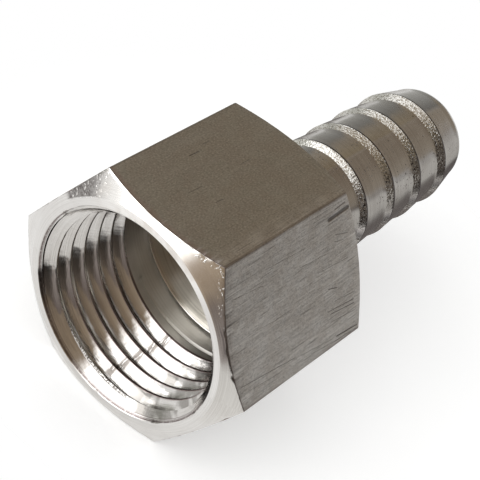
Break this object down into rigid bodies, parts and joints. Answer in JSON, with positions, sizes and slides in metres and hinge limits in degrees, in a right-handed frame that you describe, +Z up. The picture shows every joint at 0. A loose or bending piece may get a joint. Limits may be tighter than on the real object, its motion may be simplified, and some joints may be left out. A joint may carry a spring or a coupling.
{
  "type": "hose thread adapter",
  "caption": "One-piece steel fitting that joins a pushed-on hose to a male parallel pipe thread: a hex body with a threaded socket and a barbed hose tail.",
  "frame": {"origin": "centre of the thread's mouth, on the axis, in the plane of the hex body's front ring", "axes": "+Y along the axis from the thread's mouth to the tail's tip, +Z up out of a hex flat, +X across"},
  "size_m": [0.0278, 0.0478, 0.024],
  "materials": {
    "steel": "bare stainless steel, drawn flats and turned ends, not polished"
  },
  "bodies": {
    "root": {"adapter": "steel"}
  },
  "joints": []
}
